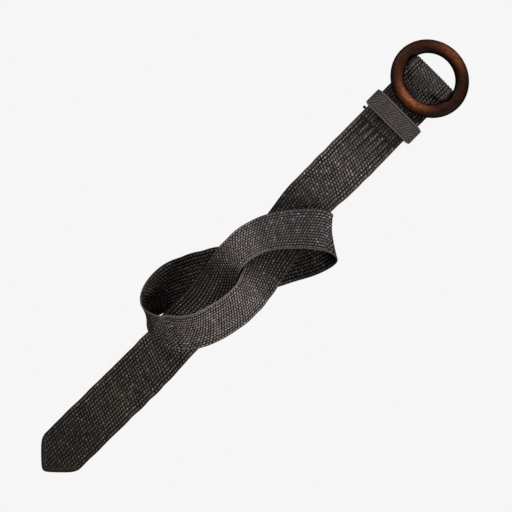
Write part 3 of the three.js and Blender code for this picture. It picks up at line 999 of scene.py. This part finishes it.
def keeper_pieces():
    """Rows, long cords and two edge cords."""
    rows = 2 * round(keeper.length / KEEPER_ROW_PITCH / 2)
    middles = (np.arange(rows) + 0.5) * keeper.length / rows
    half = KEEPER_RIBS * KEEPER_RIB_PITCH / 2
    cloth = weave(
        "keeper_weave",
        keeper,
        middles,
        np.arange(rows) % 2 == 1,
        np.full(rows, KEEPER_RIBS),
        KEEPER_RIB_PITCH,
        KEEPER_FLOAT_HALF,
        KEEPER_CORD,
        settle_keeper,
        uneven=KEEPER_UNEVEN,
    )
    core_s = np.linspace(0, keeper.length, KEEPER_CORE_STEPS)
    core_half = np.full(len(core_s), half - KEEPER_CORE_INSET)
    core = scalloped_core("keeper_long_cords", keeper, core_s, core_half, KEEPER_RIBS)
    cord = (KEEPER_EDGE_RADIUS, KEEPER_EDGE_LAY, KEEPER_EDGE_SHADE)
    edges = []
    edge_s = np.linspace(0, keeper.length, KEEPER_EDGE_STEPS + 1)[:-1]
    for name, v in (("keeper_edge_near", half), ("keeper_edge_far", -half)):
        edges.append(outline_cord(name, keeper, edge_s, np.full(len(edge_s), v), *cord))
    return cloth, core, edges


keeper_weave, keeper_core, keeper_edges = keeper_pieces()

# %% [markdown]
# The ring
#
# The buckle is turned from a close-grained hardwood such as beech, stained red-brown and oiled. The
# packed ring is faceted, so a finer one stands for it: a circle's worth of oval sections, and a bar.


# %% Ring shape
ring_steps, ring_sides = 192, 40
ring_turn = 2 * np.pi * np.arange(ring_steps)[:, None] / ring_steps
ring_angle = -2 * np.pi * np.arange(ring_sides) / ring_sides


def ring_points(turn, angle):
    """Oval sections round an oval. Their angles run backwards, so that the faces point outwards."""
    radius = RING_MIDDLE_RADIUS + RING_BAND_WIDTH / 2 * np.cos(angle)
    depth = RING_DEPTH / 2 * np.sin(angle)
    x = RING_SHORTNESS * radius * np.cos(turn)
    return np.stack(np.broadcast_arrays(x, radius * np.sin(turn), depth), axis=-1)


def tilt_and_place(local):
    """The ring's own points turned by its tilt about Y and moved to its place, in metres."""
    x, y, z = np.moveaxis(local, -1, 0)
    turned_x = x * math.cos(RING_TILT) + z * math.sin(RING_TILT)
    turned_z = -x * math.sin(RING_TILT) + z * math.cos(RING_TILT)
    placed = [turned_x + RING_X, y + RING_Y + KNOT_OVERHANG, turned_z + RING_Z]
    return np.stack(placed, axis=-1) * MM


# Where the ring is painted lighter, as painted highlights, as (turn round the ring from +X in degrees, width
# in radians, how far): most by the keeper, then at the far end, and a little on the left
PAINTED_RING_HIGHLIGHTS = [(180, 0.6, 1.2), (2, 0.5, 0.65), (110, 0.7, 0.11)]
LEAST_PAINTED_RING_LIGHT = 0.16
PAINTED_LIGHT_BEARING, PAINTED_LIGHT_HEIGHT = 20, 35
LEAST_FACING = 0.2
RIM_REACH = 1.15


def painted_ring_light(turn, angle):
    """Painted light and shade on the ring, the same above and below. It is painted lighter where the wood
    faces one direction d, by n . d with n the normal, as painted light from that side. The rims are painted
    dark, as painted shade, by 1 - exp(-(RIM_REACH n_z)^k) with k 2 outside and 4 inside. Along the ring it
    follows bell curves at the painted highlights."""
    across, up = np.cos(angle), np.abs(np.sin(angle))
    bearing, height = math.radians(PAINTED_LIGHT_BEARING), math.radians(PAINTED_LIGHT_HEIGHT)
    towards = across * np.cos(turn - bearing) * math.cos(height) + up * math.sin(height)
    towards = np.clip(towards, LEAST_FACING, 1)
    towards = towards * (1 - np.exp(-((RIM_REACH * up) ** np.where(across < 0, 4, 2))))
    along = LEAST_PAINTED_RING_LIGHT
    for place, width, amount in PAINTED_RING_HIGHLIGHTS:
        away = np.angle(np.exp(1j * (turn - math.radians(place))))
        along = along + amount * np.exp(-((away / width) ** 2))
    return towards * along


def oiled_beech():
    """Grain runs straight across the ring, along Y, as the blank was sawn: fine dark pores, 1 mm wide and 4
    mm long, on slow bands of red and brown. The shade of each point darkens it, as painted light and painted
    shade."""
    material, output = new_material("stained and oiled beech")
    tree = material.node_tree
    place = add_node(tree, "ShaderNodeTexCoord")
    at = {"Vector": place.outputs["Object"]}
    stretch = add_node(tree, "ShaderNodeMapping", {"Scale": (1.0, 0.07, 1.0)}, at)
    short = add_node(tree, "ShaderNodeMapping", {"Scale": (1.0, 0.3, 1.0)}, at)
    bands = add_node(
        tree,
        "ShaderNodeTexNoise",
        {"Scale": 260.0, "Detail": 4.0, "Roughness": 0.6},
        {"Vector": stretch.outputs["Vector"]},
    )
    pores = add_node(
        tree, "ShaderNodeTexNoise", {"Scale": 900.0, "Detail": 2.0}, {"Vector": short.outputs["Vector"]}
    )
    browns = [(0.3, "#96543a"), (0.5, "#a05c3b"), (0.7, "#a96440")]
    greys = [(0.36, "#9c9c9c"), (0.5, "#dcdcdc"), (0.64, "#ffffff")]
    colours = colour_ramp(tree, bands.outputs["Fac"], browns)
    pore_ramp = colour_ramp(tree, pores.outputs["Fac"], greys)
    porous = multiplied(tree, colours.outputs["Color"], pore_ramp.outputs["Color"], 0.9)
    tone = add_node(tree, "ShaderNodeAttribute", {"attribute_name": "shade"})
    # The shade attribute multiplies the stained colour: painted light and painted shade on the ring
    stained = multiplied(tree, porous, tone.outputs["Color"])
    bump = {"Strength": 0.1, "Distance": 0.05 * MM}
    finish = {"Roughness": 0.55, "Specular IOR Level": 0.05}
    dress(tree, output, stained, pores.outputs["Fac"], bump, finish)
    return material


RING_WOOD = oiled_beech()
wooden_ring = make_piece(
    "wooden_ring",
    tilt_and_place(ring_points(ring_turn, ring_angle)).reshape(-1, 3),
    tube_faces(1, ring_steps, ring_sides, closed=True),
    RING_WOOD,
    paint={"shade": painted_ring_light(ring_turn, ring_angle).ravel()},
)


# %% Bar
BAR_RINGS, BAR_SIDES = 80, 32
# The bar is painted near black, as painted shade under the ring and the strap
BAR_PAINTED_SHADE = 0.035
RUN_IN_LEAD, RUN_IN = 2.3, 3
BAR_SPREAD, BAR_FLATTENING = 8, 2.8


def bar_points():
    """A round bar along Y, whose ends lie a millimetre short of the ring's middle line. Over RUN_IN, from
    just short of the ring's inner wall, it grows broader and flatter, and so runs into the ring."""
    angle = 2 * np.pi * np.arange(BAR_SIDES) / BAR_SIDES
    length = np.linspace(-1, 1, BAR_RINGS) * (RING_MIDDLE_RADIUS - 1)
    inner_wall = RING_MIDDLE_RADIUS - RING_BAND_WIDTH / 2
    run_in = np.clip((np.abs(length) - inner_wall + RUN_IN_LEAD) / RUN_IN, 0, 1)
    broad, deep = BAR_RADIUS + BAR_SPREAD * run_in, BAR_RADIUS - BAR_FLATTENING * run_in
    circle = [broad[:, None] * np.sin(angle), length[:, None], deep[:, None] * np.cos(angle)]
    return np.stack(np.broadcast_arrays(*circle), axis=-1)


wooden_bar = make_piece(
    "wooden_bar",
    tilt_and_place(bar_points()).reshape(-1, 3),
    tube_faces(1, BAR_RINGS, BAR_SIDES),
    RING_WOOD,
    paint={"shade": np.full(BAR_RINGS * BAR_SIDES, BAR_PAINTED_SHADE)},
)

# %% Bodies and what each piece stands for
for piece in [*strap_pieces, strap_core, keeper_weave, keeper_core, *keeper_edges]:
    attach(piece, "belt")
for piece in (wooden_ring, wooden_bar):
    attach(piece, "buckle")
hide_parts("strap")
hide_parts("keeper")
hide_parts("ring_buckle")
